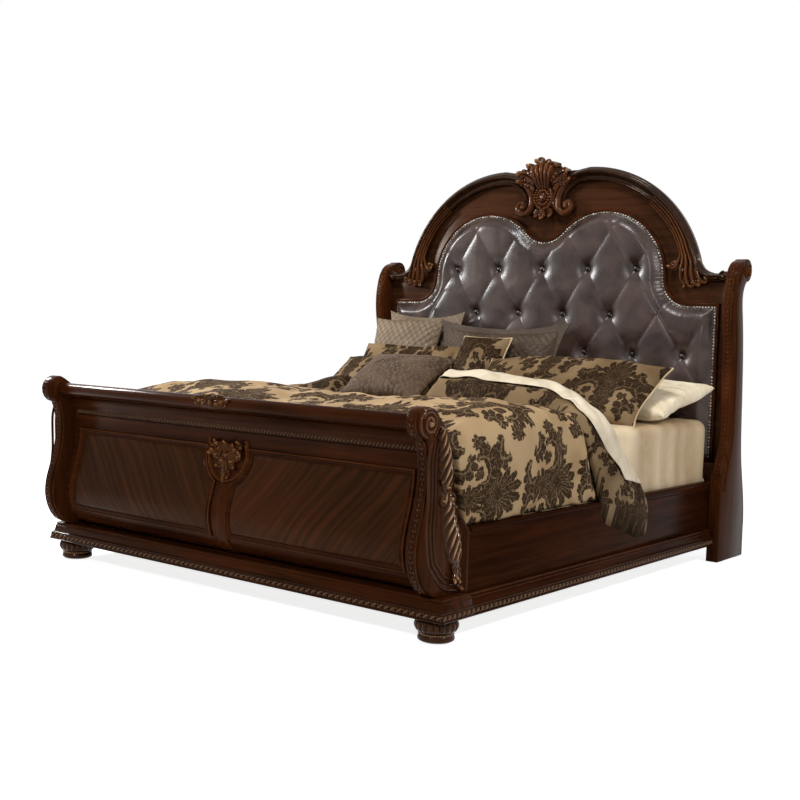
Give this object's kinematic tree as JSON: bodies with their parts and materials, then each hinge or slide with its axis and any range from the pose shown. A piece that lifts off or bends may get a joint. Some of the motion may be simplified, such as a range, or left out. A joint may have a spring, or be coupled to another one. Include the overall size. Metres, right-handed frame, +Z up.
{
  "type": "sleigh bed",
  "caption": "King-size sleigh bed: scrolled footboard, arched headboard with a button-tufted pad, carved mouldings, mattress and bedding with lift-off pillows.",
  "frame": {"origin": "on the floor, under the middle of the whole bed's box", "axes": "+X to the bed's right side seen from the foot, +Y from the footboard to the headboard, +Z up"},
  "size_m": [2.124, 2.531, 1.937],
  "materials": {
    "cherry_wood": "dark glossy cherry stain",
    "carved_wood": "carved wood, dark stain with warm rubbed highlights",
    "ribbon_veneer": "ribbon-striped veneer under dark gloss lacquer",
    "plain_timber": "planed softwood",
    "leather": "dark brown glossy leather",
    "nail_metal": "antiqued nickel nailheads",
    "steel": "zinc-plated steel",
    "nylon": "moulded nylon",
    "sheet_satin": "champagne cotton satin",
    "sheet_cream": "cream cotton",
    "box_spring_cover": "beige woven ticking",
    "damask": "brown damask on gold satin",
    "quilted_satin": "diamond-quilted bronze satin",
    "embossed_velvet": "embossed taupe velvet"
  },
  "bodies": {
    "root": {"arch_leaves": "carved_wood", "arch_moulding_left": "cherry_wood", "arch_moulding_right": "cherry_wood", "beam_brackets": "steel", "box_spring": "box_spring_cover", "bun_foot_left": "cherry_wood", "bun_foot_right": "cherry_wood", "centre_beam": "plain_timber", "centre_legs": "plain_timber", "centre_stile": "cherry_wood", "comforter": "damask", "crest_cartouche": "carved_wood", "flat_sheet": "sheet_cream", "foot_glides": "nylon", "foot_panel": "cherry_wood", "foot_plinth": "cherry_wood", "foot_post_bands": "carved_wood", "foot_post_left": "cherry_wood", "foot_post_right": "cherry_wood", "foot_roll": "cherry_wood", "foot_side_carving_left": "carved_wood", "foot_side_carving_right": "carved_wood", "head_lower_rail": "cherry_wood", "head_panel": "cherry_wood", "head_post_bands": "carved_wood", "head_post_left": "cherry_wood", "head_post_right": "cherry_wood", "hook_plates": "steel", "mattress": "sheet_satin", "nailheads": "nail_metal", "panel_mouldings": "cherry_wood", "rail_cleats": "plain_timber", "raised_panels": "ribbon_veneer", "roll_carving": "carved_wood", "rope_moulding": "carved_wood", "roundel": "carved_wood", "roundel_carving": "carved_wood", "side_plinth_left": "cherry_wood", "side_plinth_right": "cherry_wood", "side_rail_left": "cherry_wood", "side_rail_right": "cherry_wood", "slat_screws": "steel", "slats": "plain_timber", "tuft_buttons": "leather", "tufted_pad": "leather", "upholstery_board": "plain_timber", "upholstery_moulding": "cherry_wood"},
    "euro_sham_left": {"euro_sham_left": "quilted_satin"},
    "euro_sham_back": {"euro_sham_back": "quilted_satin"},
    "euro_sham_centre": {"euro_sham_centre": "quilted_satin"},
    "sham_left": {"sham_left": "damask"},
    "pillow_left": {"pillow_left": "damask"},
    "accent_pillow": {"accent_pillow": "damask"},
    "throw_pillow": {"throw_pillow": "embossed_velvet"},
    "pillow_right": {"pillow_right": "sheet_satin"},
    "sham_right": {"sham_right": "damask"},
    "leveler_pad_1": {"leveler_pad_1": "nylon"},
    "leveler_pad_2": {"leveler_pad_2": "nylon"},
    "leveler_stem_1": {"leveler_stem_1": "steel"},
    "leveler_stem_2": {"leveler_stem_2": "steel"}
  },
  "joints": [
    {"name": "euro_sham_back_lift", "type": "slide", "parent": "root", "child": "euro_sham_back", "axis": [0, 0, 1], "range_m": [0, 0.35]},
    {"name": "euro_sham_left_lift", "type": "slide", "parent": "euro_sham_back", "child": "euro_sham_left", "axis": [0, 0, 1], "range_m": [0, 0.35]},
    {"name": "euro_sham_centre_lift", "type": "slide", "parent": "euro_sham_left", "child": "euro_sham_centre", "axis": [0, 0, 1], "range_m": [0, 0.35]},
    {"name": "sham_left_lift", "type": "slide", "parent": "euro_sham_centre", "child": "sham_left", "axis": [0, 0, 1], "range_m": [0, 0.35]},
    {"name": "pillow_left_lift", "type": "slide", "parent": "sham_left", "child": "pillow_left", "axis": [0, 0, 1], "range_m": [0, 0.35]},
    {"name": "accent_pillow_lift", "type": "slide", "parent": "euro_sham_centre", "child": "accent_pillow", "axis": [0, 0, 1], "range_m": [0, 0.35]},
    {"name": "throw_pillow_lift", "type": "slide", "parent": "root", "child": "throw_pillow", "axis": [0, 0, 1], "range_m": [0, 0.35]},
    {"name": "pillow_right_lift", "type": "slide", "parent": "root", "child": "pillow_right", "axis": [0, 0, 1], "range_m": [0, 0.35]},
    {"name": "sham_right_lift", "type": "slide", "parent": "pillow_right", "child": "sham_right", "axis": [0, 0, 1], "range_m": [0, 0.35]},
    {"name": "leveler_1_height", "type": "slide", "parent": "root", "child": "leveler_pad_1", "axis": [0, 0, 1], "range_m": [-0.012, 0.012]},
    {"name": "leveler_1_turn", "type": "hinge", "parent": "leveler_pad_1", "child": "leveler_stem_1", "pos_m": [0, -0.31017, 0.03], "axis": [0, 0, 1], "range_deg": [-2900, 2900]},
    {"name": "leveler_2_height", "type": "slide", "parent": "root", "child": "leveler_pad_2", "axis": [0, 0, 1], "range_m": [-0.012, 0.012]},
    {"name": "leveler_2_turn", "type": "hinge", "parent": "leveler_pad_2", "child": "leveler_stem_2", "pos_m": [0, 0.36017, 0.03], "axis": [0, 0, 1], "range_deg": [-2900, 2900]}
  ],
  "couplings": [
    {"joint": "leveler_1_turn", "follows": "leveler_1_height", "rad_per_m": 4188.8},
    {"joint": "leveler_2_turn", "follows": "leveler_2_height", "rad_per_m": 4188.8}
  ]
}
